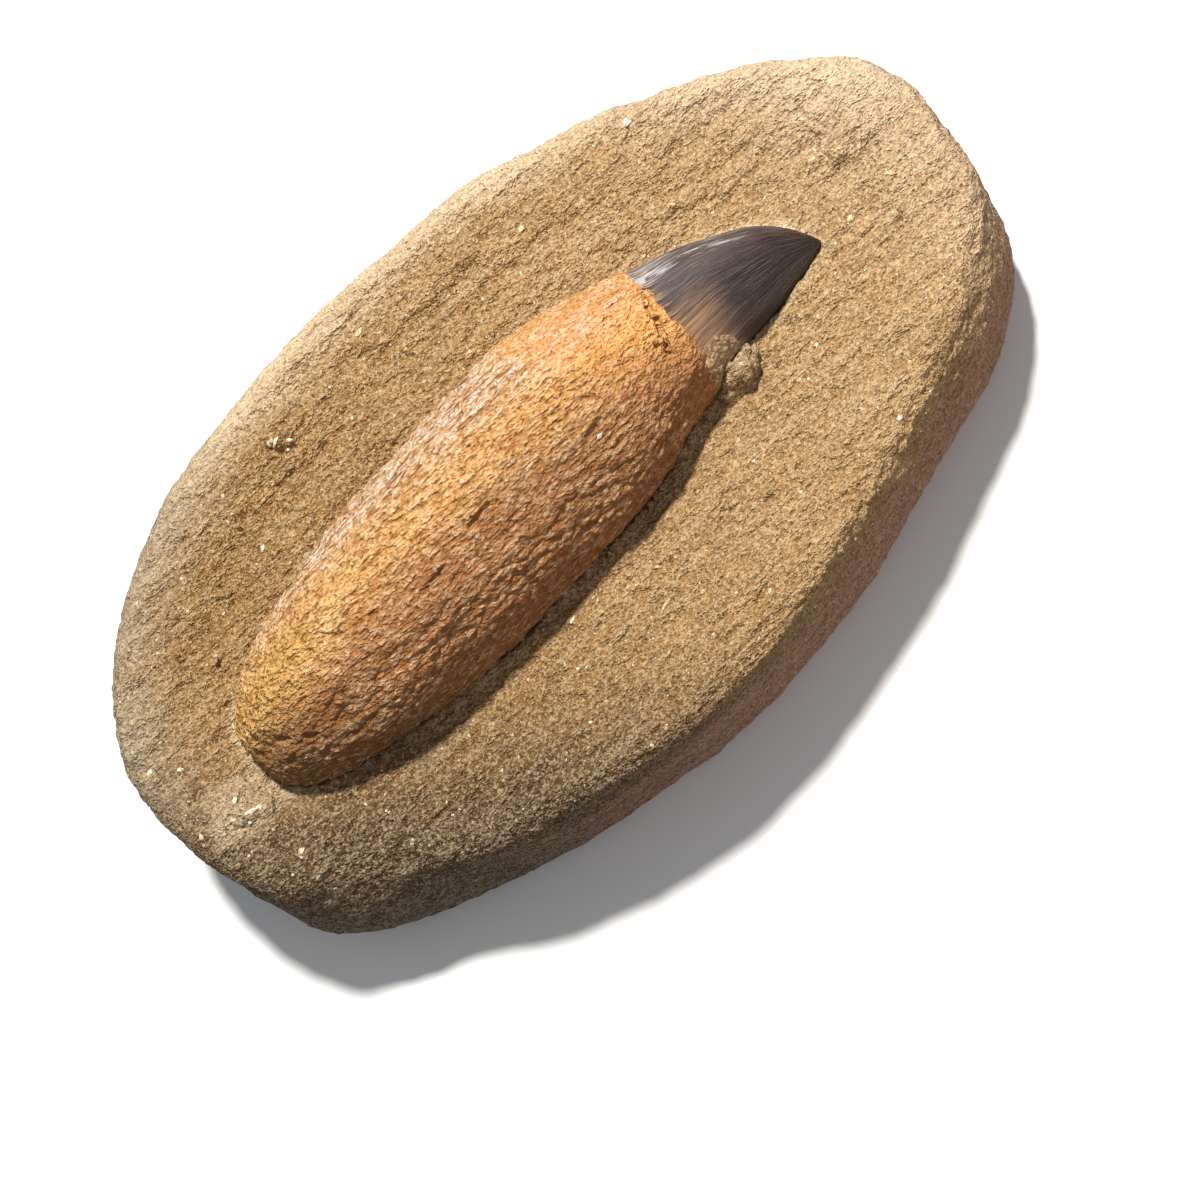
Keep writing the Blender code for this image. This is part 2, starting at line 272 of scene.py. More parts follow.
class Finish:
    """A material and the nodes that make it."""

    def __init__(self, name):
        self.material = bpy.data.materials.new(name)
        self.material.use_nodes = True
        self.tree = self.material.node_tree
        self.tree.nodes.clear()

    def add(self, kind, settings=None, inputs=None, output=0):
        """Adds a node: its settings first, then the values or links of its sockets."""
        node = self.tree.nodes.new(kind)
        for name, value in (settings or {}).items():
            if name == "stops":
                self.set_stops(node.color_ramp, value)
            else:
                setattr(node, name, value)
        for place, value in (inputs or {}).items():
            if isinstance(value, Reading):
                self.tree.links.new(value.socket, node.inputs[place])
            else:
                node.inputs[place].default_value = value
        return Reading(self, node.outputs[output]) if node.outputs else None

    @staticmethod
    def set_stops(ramp, stops):
        while len(ramp.elements) < len(stops):
            ramp.elements.new(1.0)
        for element, (place, colour) in zip(ramp.elements, stops):
            element.position = place
            element.color = (*colour, 1.0)

    def place(self):
        """Place on the object, in millimetres."""
        here = self.add("ShaderNodeTexCoord", output="Object")
        return self.scaled(here, (1000.0,) * 3)

    def scaled(self, vector, by):
        return self.add("ShaderNodeVectorMath", {"operation": "MULTIPLY"}, {0: vector, 1: by})

    def axis(self, vector, name):
        return self.add("ShaderNodeSeparateXYZ", inputs={0: vector}, output=name)

    def noise(self, vector, grain, detail=2.0, roughness=0.5, warp=0.0, output=0):
        """Soft noise with lumps of this size, one figure or one for each axis."""
        sizes = grain if isinstance(grain, tuple) else (grain,) * 3
        stretched = self.scaled(vector, tuple(1.0 / size for size in sizes))
        return self.add("ShaderNodeTexNoise", {"noise_dimensions": "3D"},
                        {"Vector": stretched, "Scale": 1.0, "Detail": detail,
                         "Roughness": roughness, "Distortion": warp}, output)

    def strayed(self, vector, grain, reach):
        """The place moved about by a soft noise, so that patterns read from it look torn."""
        push = self.noise(vector, grain, detail=2.0, output=1)
        push = self.add("ShaderNodeVectorMath", {"operation": "SUBTRACT"}, {0: push, 1: (0.5,) * 3})
        push = self.scaled(push, (2.0 * reach,) * 3)
        return self.add("ShaderNodeVectorMath", {"operation": "ADD"}, {0: vector, 1: push})

    def lumps(self, vector, grain):
        """Heights of round lumps packed side by side, near 0 in the gaps and 1 on their tops."""
        stretched = self.scaled(vector, tuple(1.0 / size for size in grain))
        off = self.add("ShaderNodeTexVoronoi", {"feature": "F1"},
                       {"Vector": stretched, "Scale": 1.0, "Randomness": 1.0}, "Distance")
        return 1.0 - 1.5 * off * off

    def between(self, value, low, high, to_low=0.0, to_high=1.0):
        """The value stretched from one span to another, smooth and held at its ends."""
        return self.add("ShaderNodeMapRange", {"interpolation_type": "SMOOTHSTEP", "clamp": True},
                        {0: value, 1: low, 2: high, 3: to_low, 4: to_high})

    def spot(self, x, y, middle, reach, ragged):
        """A patch on the plan, 1 in its middle, its edge made ragged by a noise."""
        across = (x - middle[0]) / reach[0]
        along = (y - middle[1]) / reach[1]
        return self.between(across * across + along * along + 2.4 * (ragged - 0.5), 1.25, 0.25)

    def blend(self, share, first, second):
        """Between two values, by share."""
        return self.add("ShaderNodeMix", {"data_type": "FLOAT", "clamp_factor": True},
                        {0: share, 2: first, 3: second})

    def mix(self, share, first, second, blend="MIX"):
        colours = {0: share}
        for place, colour in ((6, first), (7, second)):
            colours[place] = colour if isinstance(colour, Reading) else (*colour, 1.0)
        return self.add("ShaderNodeMix", {"data_type": "RGBA", "blend_type": blend,
                                          "clamp_factor": True}, colours, 2)

    def bump(self, height, depth, under=None):
        """A bump of this depth in millimetres for heights from 0 to 1."""
        sockets = {"Height": height, "Distance": depth * MM, "Strength": 1.0}
        if under is not None:
            sockets["Normal"] = under
        return self.add("ShaderNodeBump", inputs=sockets)

    def surface(self, **sockets):
        """The closing shader, with the sockets named as on it."""
        named = {name.replace("_", " "): value for name, value in sockets.items()}
        shader = self.add("ShaderNodeBsdfPrincipled", inputs=named)
        self.add("ShaderNodeOutputMaterial", inputs={"Surface": shader})
        return self.material


def ground_colour(f, here):
    """Broad colour of the matrix: ochre, browner towards the root's end and darkened there with painted
    shade, bleached along the far rim; the sides get painted shade towards the root's end and a painted
    warm bounce on the near side.
    """
    x, y, z = (f.axis(here, name) for name in "XYZ")
    patches = f.noise(here, (34.0, 16.0, 16.0), detail=2.0, warp=0.6)
    cloud = f.noise(here, (7.0, 3.2, 3.2), detail=3.0, roughness=0.6)
    tan = f.mix(f.between(x + 26.0 * (patches - 0.5), -44.0, 64.0),
                (0.320, 0.178, 0.057), (0.485, 0.305, 0.140))
    tan = f.mix(f.between(cloud, 0.42, 0.72, 0.0, 0.50), tan, (0.42, 0.228, 0.074))
    length_share, width_share = x / HALF_LENGTH, y / HALF_WIDTH
    out = length_share * length_share + width_share * width_share + 0.30 * (patches - 0.5)
    rim = f.between(out, 0.62, 0.98) * f.between(y - 0.06 * x + 8.0 * (cloud - 0.5), -6.0, 7.0)
    bleached = f.mix(f.between(x, -16.0, -54.0), (0.77, 0.605, 0.410), (0.33, 0.262, 0.182))
    tan = f.mix(rim * 0.80, tan, bleached)
    far_end = f.between(x + 0.3 * y + 10.0 * (patches - 0.5), 44.0, 70.0, 0.0, 0.55)
    tan = f.mix(far_end, tan, (0.66, 0.505, 0.345))
    # Painted shade darkens the face of the block towards the root's end.
    low_end_shade = f.between(0.62 * x + y + 8.0 * (patches - 0.5), -27.0, -56.0, 0.0, 0.85)
    tan = f.mix(low_end_shade, tan, (0.080, 0.045, 0.023))
    saddle = f.spot(x, y, (-59.5, -6.5), (7.0, 5.0), cloud)
    tan = f.mix(saddle * 0.45, tan, (0.66, 0.520, 0.340))
    clump = f.spot(x, y, (28.0, -8.4), (3.6, 3.0), cloud)
    tan = f.mix(clump * 0.60, tan, (0.33, 0.235, 0.135))
    # The sides take a colour of their own, with painted shade towards the root's end and a painted warm
    # bounce on the near side towards the crown.
    side = f.between(z + 3.0 * (cloud - 0.5), 24.0, 17.0, 0.0, 0.60)
    bounce_share = f.between(x, -45.0, -5.0) * f.between(y, 5.0, -15.0)
    side_shade_and_bounce = f.mix(bounce_share, (0.14, 0.094, 0.064), (0.52, 0.262, 0.185))
    return f.mix(side, tan, side_shade_and_bounce), rim


def shell_finish():
    """Chips of shell and grains of quartz: rust-coloured, grey, cream and bluish white."""
    f = Finish("shell chips")
    here = f.place()
    tone = f.add("ShaderNodeAttribute", {"attribute_name": "tone"}, output="Fac")
    kind = f.add("ShaderNodeValToRGB", {"stops": (
        (0.05, (0.72, 0.44, 0.12)), (0.20, (0.16, 0.14, 0.12)), (0.45, (0.36, 0.32, 0.27)),
        (0.60, (0.74, 0.58, 0.36)), (0.80, (0.84, 0.74, 0.56)), (0.95, (0.56, 0.58, 0.60)),
        (1.00, (0.62, 0.66, 0.70)))}, {0: tone})
    dirt = f.noise(here, 0.45, detail=2.0)
    colour = f.mix(f.between(dirt, 0.54, 0.40, 0.0, 0.8), kind, (0.44, 0.28, 0.12))
    return f.surface(Base_Color=colour, Roughness=0.6, Specular_IOR_Level=0.4,
                     Normal=f.bump(dirt, 0.15))


def sandy_matrix():
    """Carved sandy matrix: ochre sand with pale and rust-coloured grains, painted shade in the hollows
    of its relief and painted highlights on its tops.
    """
    f = Finish("sandy matrix")
    here = f.place()
    tan, rim = ground_colour(f, here)
    strokes = f.noise(here, (17.0, 1.5, 1.5), detail=2.0, roughness=0.6, warp=0.3)
    coarse = f.noise(here, (2.8, 1.4, 1.4), detail=2.0, roughness=0.6)
    grain = f.noise(here, (0.64, 0.46, 0.46), detail=1.0, roughness=0.7)
    fine = f.noise(here, (0.32, 0.24, 0.24), detail=1.0, roughness=0.6)
    contact = f.add("ShaderNodeAttribute", {"attribute_name": "contact"}, output="Fac")
    y = f.axis(here, "Y")
    dusty = f.between(contact + 0.5 * (coarse - 0.5), 0.45, 0.85) * f.between(y, -6.0, 6.0, 0.15, 0.75)
    tan = f.mix(dusty, tan, (0.86, 0.72, 0.480))
    # The dark and pale mixes below follow the noises of the bump: painted shade in the hollows of the
    # relief, weaker on the bleached rim, and painted highlights on its tops, with some pale grain among
    # them.
    depth = 1.0 - 0.45 * rim
    dark = f.mix(1.0, tan, (0.42, 0.35, 0.30), "MULTIPLY")
    pale = f.mix(0.38, tan, (0.95, 0.80, 0.54))
    tan = f.mix(f.between(strokes, 0.49, 0.36, 0.0, 0.38) * depth, tan, dark)
    tan = f.mix(f.between(strokes, 0.53, 0.66, 0.0, 0.40), tan, pale)
    tan = f.mix(f.between(coarse, 0.48, 0.34, 0.0, 0.32) * depth, tan, dark)
    tan = f.mix(f.between(grain, 0.49, 0.36, 0.0, 0.56) * depth, tan, dark)
    tan = f.mix(f.between(grain, 0.52, 0.64, 0.0, 0.60), tan, pale)
    tan = f.mix(f.between(fine, 0.46, 0.34, 0.0, 0.55) * depth, tan, dark)
    colour = f.mix(f.between(fine, 0.54, 0.66, 0.0, 0.45), tan, pale)
    relief = f.bump(1.0 * strokes + 0.9 * coarse + 0.80 * grain + 0.35 * fine, 1.0)
    return f.surface(Base_Color=colour, Roughness=0.93, Specular_IOR_Level=0.2, Normal=relief)


def grain_finish():
    """Loose sand grains: the matrix's own colour, with pale, rust-coloured, grey and white ones among
    them.
    """
    f = Finish("sand grains")
    here = f.place()
    tone = f.add("ShaderNodeAttribute", {"attribute_name": "tone"}, output="Fac")
    own, _ = ground_colour(f, here)
    kind = f.add("ShaderNodeValToRGB", {"stops": (
        (0.940, (0.80, 0.62, 0.36)), (0.970, (0.90, 0.80, 0.60)), (0.975, (0.68, 0.36, 0.09)),
        (0.985, (0.34, 0.22, 0.12)), (0.992, (0.33, 0.33, 0.33)), (1.000, (0.88, 0.85, 0.78)))},
        {0: tone})
    speck = f.noise(here, 0.25, detail=2.0)
    dark = f.mix(1.0, own, (0.66, 0.60, 0.54), "MULTIPLY")
    pale = f.mix(0.22, own, (0.92, 0.76, 0.50))
    colour = f.mix(f.between(tone, 0.0, 0.9), dark, pale)
    colour = f.mix(f.between(tone, 0.94, 0.96, 0.0, 0.6), colour, kind)
    colour = f.mix(f.between(speck, 0.48, 0.34, 0.0, 0.4), colour, dark)
    return f.surface(Base_Color=colour, Roughness=0.88, Specular_IOR_Level=0.3,
                     Normal=f.bump(speck, 0.10))


def tooth_finish():
    """Fossil bone and enamel on one piece: ochre fibrous bone up to the collar, dark enamel past it."""
    f = Finish("fossil bone and enamel")
    here = f.place()
    x, y, z = (f.axis(here, name) for name in "XYZ")
    growth = f.add("ShaderNodeAttribute", {"attribute_name": "growth"}, output="Vector")

    # bone
    patches = f.noise(here, (17.0, 8.0, 8.0), detail=2.0, warp=0.5)
    blots = f.noise(here, (5.0, 3.2, 3.2), detail=3.0, roughness=0.6)
    crumb = f.lumps(f.strayed(here, 1.3, 0.7), (1.35, 0.74, 0.74))
    grain = f.noise(here, (0.54, 0.38, 0.38), detail=1.0, roughness=0.6)
    fibres = f.noise(here, (2.8, 0.62, 0.62), detail=3.0, roughness=0.65, warp=0.25)
    lit = f.between(y + 0.04 * x + 5.0 * (patches - 0.5), 0.5, 8.5)
    height = f.blend(0.45 + 0.35 * lit, crumb, 3.6 * fibres - 1.15)
    bone = f.mix(f.between(patches, 0.38, 0.60), (0.75, 0.400, 0.142), (0.82, 0.465, 0.186))
    bone = f.mix(f.between(blots, 0.52, 0.64, 0.0, 0.50), bone, (0.72, 0.350, 0.085))
    bone = f.mix(f.between(blots, 0.46, 0.34, 0.0, 0.50), bone, (0.78, 0.550, 0.210))
    golden = f.between(x + 0.6 * y + 6.0 * (patches - 0.5), 8.0, 16.0)
    bone = f.mix(golden * 0.75, bone, (0.78, 0.385, 0.125))
    yellow = f.spot(x, y, (-46.0, -1.0), (11.0, 9.0), patches)
    bone = f.mix(yellow * 0.60, bone, (0.66, 0.400, 0.110))
    rosy = f.spot(x, y, (14.5, 6.5), (7.5, 4.5), blots)
    bone = f.mix(rosy * 0.70, bone, (0.88, 0.400, 0.185))
    residue = f.spot(x, y, (-2.0, -7.5), (10.0, 4.5), blots)
    bone = f.mix(residue * 0.60, bone, (0.42, 0.300, 0.150))
    shaded = f.between(y - 0.35 * z + 5.0 * (patches - 0.5), -13.0, -21.0, 0.0, 0.90)
    bone = f.mix(shaded, bone, (0.34, 0.145, 0.062))
    # Painted shade darkens the lower end of the root.
    low_end_shade = f.between(0.5 * x + y + 3.0 * (blots - 0.5), -26.0, -32.5, 0.0, 0.66)
    bone = f.mix(low_end_shade, bone, (0.17, 0.085, 0.042))
    calm = 1.0 - 0.70 * f.blend(rosy, 0.75 * golden, 1.0)
    # Painted light on the bone: paler on the side towards the softbox, painted highlights on the tops
    # of the lumps, strongest on that side, and painted shade in the creases and in the hollows of the
    # fine grain.
    cream = (1.0 - 0.55 * yellow) * (1.0 - 0.60 * golden) * (0.55 + 0.45 * lit)
    bone = f.mix(lit * 0.35 * (1.0 - golden), bone, (0.90, 0.600, 0.380))
    pale = f.mix(lit, (1.0, 0.680, 0.400), (1.0, 0.880, 0.800))
    bone = f.mix(f.between(height, 0.58, 0.90, 0.0, 0.72) * cream, bone, pale)
    creases = f.between(height, 0.58, 0.25) * calm * (0.62 + 0.33 * lit)
    bone = f.mix(creases, bone, (0.34, 0.125, 0.036))
    bone = f.mix(f.between(grain, 0.49, 0.36, 0.0, 0.60), bone, (0.36, 0.160, 0.042))
    bone_bumps = f.bump(0.80 * height * calm + 0.90 * grain, 1.0)

    # enamel
    bands = f.noise(growth, (1.1, 1.1, 1.6), detail=3.0, roughness=0.6)
    streaks = f.noise(growth, (0.36, 0.36, 1.0), detail=3.0, roughness=0.6)
    hair = f.noise(growth, (0.14, 0.14, 0.7), detail=2.0)
    enamel = f.mix(f.between(bands, 0.35, 0.65), (0.011, 0.006, 0.008), (0.054, 0.029, 0.027))
    # Painted shade darkens the crown's lower flank, and painted light brightens its upper flank, which
    # faces the softbox.
    lower = f.between(y + 2.0 * (bands - 0.5), 1.5, -4.0, 0.0, 0.65)
    enamel = f.mix(lower, enamel, (0.008, 0.004, 0.005))
    upper = f.between(y + 0.5 * (z - 30.0), 0.5, 6.0, 0.0, 0.55)
    enamel = f.mix(upper, enamel, (0.085, 0.060, 0.058))
    enamel = f.mix(f.between(streaks, 0.52, 0.72, 0.0, 0.7), enamel, (0.155, 0.120, 0.110))
    enamel = f.mix(f.between(hair, 0.60, 0.74, 0.0, 0.55), enamel, (0.30, 0.24, 0.21))
    worn = f.between(x - 0.25 * y + 5.0 * (bands - 0.5), 34.0, 27.5) * f.between(y, 2.5, -3.0)
    enamel = f.mix(worn * f.between(streaks, 0.30, 0.60, 0.35, 1.0), enamel, (0.33, 0.185, 0.100))
    # Whitish streaks over the upper base of the crown.
    whitish_base = f.between(x, 32.0, 26.0) * f.between(y, 4.0, 7.0)
    enamel = f.mix(whitish_base * f.between(streaks, 0.44, 0.60, 0.0, 0.90), enamel, (0.62, 0.57, 0.54))
    around = f.axis(growth, "X")
    # Painted glints along the crown's upper crest and a small painted bluish reflection by the collar.
    glint_noise = f.noise(growth, (0.30, 0.30, 0.55), detail=2.0, roughness=0.6)
    crest = f.between(around, 3.5, 5.5) * f.between(x, 46.0, 26.0, 0.45, 1.0)
    enamel = f.mix(crest * f.between(glint_noise, 0.56, 0.64), enamel, (0.62, 0.62, 0.64))
    bluish = f.spot(x, y, (25.3, 6.5), (0.8, 0.8), glint_noise)
    enamel = f.mix(bluish * 0.8, enamel, (0.56, 0.66, 0.76))
    film = f.spot(x, y, (27.0, -8.2), (4.2, 3.4), bands)
    enamel = f.mix(film * f.between(grain, 0.40, 0.52, 0.55, 1.0), enamel, (0.36, 0.255, 0.150))
    enamel_bumps = f.bump(streaks, 0.32)
    enamel_bumps = f.bump(hair, 0.13, under=enamel_bumps)

    ragged = f.noise(here, 1.3, detail=3.0, roughness=0.75)
    crown = f.between(x + 2.4 * (ragged - 0.5), COLLAR_X - 0.10, COLLAR_X + 0.10)
    crust = f.between(x + 3.0 * (ragged - 0.5), COLLAR_X + 2.2, COLLAR_X + 0.3)
    enamel = f.mix(crust * f.between(streaks, 0.44, 0.60, 0.0, 0.70), enamel, (0.42, 0.270, 0.150))
    skin = f.add("ShaderNodeBsdfPrincipled", inputs={
        "Base Color": bone, "Roughness": 0.90, "Specular IOR Level": 0.15, "Normal": bone_bumps})
    glaze = f.add("ShaderNodeBsdfPrincipled", inputs={
        "Base Color": enamel, "Roughness": 0.33, "Specular IOR Level": 0.5, "Normal": enamel_bumps})
    both = f.add("ShaderNodeMixShader", inputs={0: crown, 1: skin, 2: glaze})
    f.add("ShaderNodeOutputMaterial", inputs={"Surface": both})
    return f.material


# ---- the tooth ----
def tooth():
    """Root with the relief of fossil bone and its cracks, crown almost smooth."""
    piece = taken_from("tooth", "rooted_tooth")
    work(piece, "REMESH", mode="VOXEL", voxel_size=TOOTH_VOXEL * MM)
    x = places(piece)[:, 0]
    weigh(piece, "root", 1.0 - step_up(COLLAR_X - 0.8, COLLAR_X + 0.8, x))
    weigh(piece, "crown", step_up(COLLAR_X - 0.5, COLLAR_X + 1.0, x)
          * (1.0 - 0.9 * step_up(CROWN_TIP_X - 3.5, CROWN_TIP_X - 0.5, x)))
    work(piece, "SMOOTH", factor=0.5, iterations=ROOT_ROUNDING, vertex_group="root")
    work(piece, "SMOOTH", factor=0.5, iterations=CROWN_ROUNDING, vertex_group="crown")
    relief(piece, "CLOUDS", 0.50, (7.0, 2.6, 2.6), "root")
    relief(piece, "VORONOI", -0.42, (1.9, 1.0, 1.0), "root")
    relief(piece, "CLOUDS", 0.42, (2.2, 0.9, 0.9), "root")
    relief(piece, "CLOUDS", 0.30, (0.8, 0.5, 0.5), "root")
    for line, width, depth in CRACKS:
        crack(piece, line, width, depth)
    add_growth(piece)
    return piece


def crack(piece, line, width, depth):
    """Sinks a narrow crack into the upper side of a piece along a line of x and y."""
    spots = places(piece)
    out = facing(piece)
    near = np.full(len(spots), 1e9)
    for start, end in zip(line, line[1:]):
        start, way = np.array(start), np.subtract(end, start)
        share = np.clip((spots[:, :2] - start) @ way / (way @ way), 0.0, 1.0)
        near = np.minimum(near, np.linalg.norm(spots[:, :2] - start - share[:, None] * way, axis=1))
    sink = depth * (1.0 - step_up(0.3 * width, width, near)) * (out[:, 2] > 0.2)
    move_to(piece, spots - out * sink[:, None])


def add_growth(piece):
    """Writes where each point lies round the crown and along it, so that ridges run to the tip."""
    spots = places(piece)
    stations = np.array(CROWN_AXIS)
    mid_y = np.interp(spots[:, 0], stations[:, 0], stations[:, 1])
    mid_z = np.interp(spots[:, 0], stations[:, 0], stations[:, 2])
    turn = np.arctan2(spots[:, 2] - mid_z, spots[:, 1] - mid_y)
    run = np.stack([np.cos(turn) * 11.0, np.sin(turn) * 11.0, spots[:, 0] / 7.0], axis=1)
    growth = piece.data.attributes.new("growth", "FLOAT_VECTOR", "POINT")
    growth.data.foreach_set("vector", run.astype(np.float32).ravel())


# ---- the block ----
def stone():
    """The block: dressed face and sides with the relief of sand, and the clump by the crown."""
    piece = taken_from("matrix", "matrix_stone")
    work(piece, "REMESH", mode="VOXEL", voxel_size=STONE_VOXEL * MM)
    spots = places(piece)
    spread = (spots[:, 0] / HALF_LENGTH) ** 2 + (spots[:, 1] / HALF_WIDTH) ** 2
    weigh(piece, "dressed", step_up(0.3, 2.0, spots[:, 2]) * (1.0 - 0.5 * step_up(0.80, 0.97, spread)))
    work(piece, "SMOOTH", factor=0.5, iterations=STONE_ROUNDING, vertex_group="dressed")
    weigh(piece, "clump", 1.0 - step_up(4.5, 7.0, np.hypot(spots[:, 0] - 27.5, spots[:, 1] + 8.5)))
    work(piece, "SMOOTH", factor=0.5, iterations=CLUMP_ROUNDING, vertex_group="clump")
    relief(piece, "VORONOI", -1.30, (2.3, 1.9, 1.9), "clump")
    relief(piece, "CLOUDS", 0.80, (10.0, 4.0, 4.0), "dressed")
    relief(piece, "CLOUDS", 0.95, (3.8, 1.9, 1.9), "dressed")
    relief(piece, "VORONOI", -0.45, (1.7, 1.1, 1.1), "dressed")
    relief(piece, "CLOUDS", 0.50, (1.0, 0.7, 0.7), "dressed")
    return piece


def close_lip(piece, against):
    """Draws the edge of the pocket up to the tooth, as the matrix still grips it."""
    pick(against)
    depsgraph = bpy.context.evaluated_depsgraph_get()
    surface = BVHTree.FromObject(against, depsgraph)
    spots = places(piece)
    for place, spot in enumerate(spots):
        if abs(spot[1]) > 20.0 or spot[2] < 10.0:
            continue
        found = surface.find_nearest(Vector(spot) * MM, 1.8 * MM)
        if found[0] is None:
            continue
        hit, normal = found[0] / MM, found[1]
        gap = (Vector(spot) - hit).dot(normal)
        pull = 1.0 - float(step_up(0.55, 1.8, abs(gap)))
        spots[place] -= np.array(normal) * (gap - 0.02) * pull
    move_to(piece, spots)


def spare_top(piece):
    """Marks the carved face, which keeps more of its triangles than the sides and the back."""
    spots = places(piece)
    weigh(piece, "kept", 0.05 + 0.30 * step_up(0.5, 2.0, spots[:, 2])
          + 0.60 * step_up(16.0, 22.0, spots[:, 2]))


def spare_bare(piece):
    """Marks the side of the tooth that stands out of the matrix."""
    spots = places(piece)
    weigh(piece, "kept", 0.92 * step_up(22.0, 25.0, spots[:, 2]))


def mark_contact(piece, against):
    """Notes on the stone how near the tooth lies, from 0 to 1 where they meet."""
    near = []
    for spot in places(piece):
        _, _, _, gap = against.find_nearest(Vector(spot) * MM, CONTACT_REACH * MM)
        near.append(0.0 if gap is None else 1.0 - gap / (CONTACT_REACH * MM))
    contact = piece.data.attributes.new("contact", "FLOAT", "POINT")
    contact.data.foreach_set("value", np.array(near, np.float32))


def grain_shapes(count, seed):
    """A few rough pebbles, a millimetre across, as lists of vertices and one list of faces."""
    shapes = []
    for number in range(count):
        bpy.ops.object.select_all(action="DESELECT")
        bpy.ops.mesh.primitive_ico_sphere_add(subdivisions=1, radius=0.5)
        pebble = bpy.context.object
        bpy.ops.object.mode_set(mode="EDIT")
        bpy.ops.transform.vertex_random(offset=0.17, seed=seed + number)
        bpy.ops.object.mode_set(mode="OBJECT")
        shapes.append(np.array([tuple(v.co) for v in pebble.data.vertices]))
        faces = np.array([tuple(p.vertices) for p in pebble.data.polygons])
        bpy.data.objects.remove(pebble)
    return shapes, faces


def scattered_spots(piece, count, seed, low_z, blocked, clear=6.0):
    """Random places on a piece with nothing blocking the way out for this far, and that way."""
    mesh = piece.data
    mesh.calc_loop_triangles()
    corners = np.empty(len(mesh.loop_triangles) * 3, np.int32)
    mesh.loop_triangles.foreach_get("vertices", corners)
    spots = places(piece)[corners.reshape(-1, 3)]
    cross = np.cross(spots[:, 1] - spots[:, 0], spots[:, 2] - spots[:, 0])
    area = np.linalg.norm(cross, axis=1) / 2.0
    weight = area * (spots[:, :, 2].min(axis=1) > low_z)
    draw = np.random.default_rng(seed)
    chosen = draw.choice(len(weight), size=count * 2, p=weight / weight.sum())
    share = draw.random((count * 2, 2))
    flip = share.sum(axis=1) > 1.0
    share[flip] = 1.0 - share[flip]
    a, b, c = (spots[chosen, corner] for corner in range(3))
    points = a + share[:, :1] * (b - a) + share[:, 1:] * (c - a)
    out = cross[chosen] / (2.0 * area[chosen, None])
    bare = [place for place in range(len(points))
            if blocked.ray_cast(Vector(points[place] + out[place] * 0.05) * MM,
                                Vector(out[place]), clear * MM)[0] is None]
    return points[bare[:count]], out[bare[:count]]


def pile(name, points, out, sizes, tones, seed, sunk, stretch=(1.35, 1.0, 0.75), turns=None):
    """One mesh of many grains, each lying flat on its spot with its own turn.

    A grain's middle is sunk below its spot by this share of its size.
    """
    shapes, faces = grain_shapes(8, seed)
    draw = np.random.default_rng(seed)
    stretches = np.broadcast_to(stretch, (len(points), 3))
    depths = np.broadcast_to(sunk, len(points)) * sizes
    rings = []
    for number in range(len(points)):
        up = out[number]
        level = (0.0, 1.0, 0.0) if abs(up[1]) < 0.9999 else (1.0, 0.0, 0.0)
        along = np.cross(level, up)
        along /= np.linalg.norm(along)
        across = np.cross(up, along)
        turn = draw.normal(0.0, 0.7) if turns is None else turns[number]
        first = along * math.cos(turn) + across * math.sin(turn)
        second = np.cross(up, first)
        shape = shapes[draw.integers(len(shapes))] * stretches[number] * sizes[number]
        centre = points[number] - up * depths[number]
        rings.append(centre + shape[:, :1] * first + shape[:, 1:2] * second + shape[:, 2:] * up)
    count = len(shapes[0])
    vertices = np.concatenate(rings) * MM
    everything = (faces[None] + count * np.arange(len(points))[:, None, None]).reshape(-1, 3)
    mesh = bpy.data.meshes.new(name)
    mesh.from_pydata(vertices.tolist(), [], everything.tolist())
    mesh.update()
    tone = mesh.attributes.new("tone", "FLOAT", "POINT")
    tone.data.foreach_set("value", np.repeat(np.asarray(tones, np.float32), count))
    piece = bpy.data.objects.new(name, mesh)
    bpy.context.collection.objects.link(piece)
    return piece


def crumbs(name, on, blocked, seed, size, low_z):
    """Crumbs of sand all over the stone, most of them in its own colour."""
    points, out = scattered_spots(on, CRUMBS, seed, low_z, blocked)
    draw = np.random.default_rng(seed + 100)
    sizes = np.clip(np.exp(draw.normal(math.log(size), 0.22, len(points))), 0.28, 0.95)
    tones = draw.random(len(points))
    return pile(name, points, out, sizes, tones, seed + 200, 0.24)


def clinging_sand(tooth_piece, stone_surface):
    """Sand that still holds to the tooth at the crown's base and where the tooth leaves the matrix."""
    points, out = scattered_spots(tooth_piece, CLINGING_TRIES, 31, 22.0, stone_surface, clear=0.7)
    base = np.linalg.norm(points - np.array(CROWN_BASE), axis=1) < 3.3
    near = [place for place, point in enumerate(points) if base[place]
            or stone_surface.find_nearest(Vector(point) * MM, 1.1 * MM)[0] is not None]
    draw = np.random.default_rng(32)
    near = np.array(near)[draw.permutation(len(near))]
    near = near[np.argsort(~base[near], kind="stable")][:CLINGING_GRAINS]
    sizes = np.clip(np.exp(draw.normal(math.log(0.46), 0.36, len(near))), 0.26, 1.1)
    along_edge = points[near, 0] > CROWN_BASE[0] + 3.0
    sizes[along_edge] *= 0.7
    sunk = np.where(base[near], 0.12, np.where(along_edge, 0.36, 0.26))
    return pile("clinging_sand", points[near], out[near], sizes, draw.random(len(near)), 33, sunk)


def dropped_on(surface, rows):
    """Where things let down at each x and y of these rows land, and the way out there."""
    points, out = [], []
    for x, y, *_ in rows:
        hit, normal, *_ = surface.ray_cast(Vector((x, y, 60.0)) * MM, Vector((0.0, 0.0, -1.0)))
        points.append(np.array(hit) / MM)
        out.append(np.array(normal))
    return np.array(points), np.array(out)


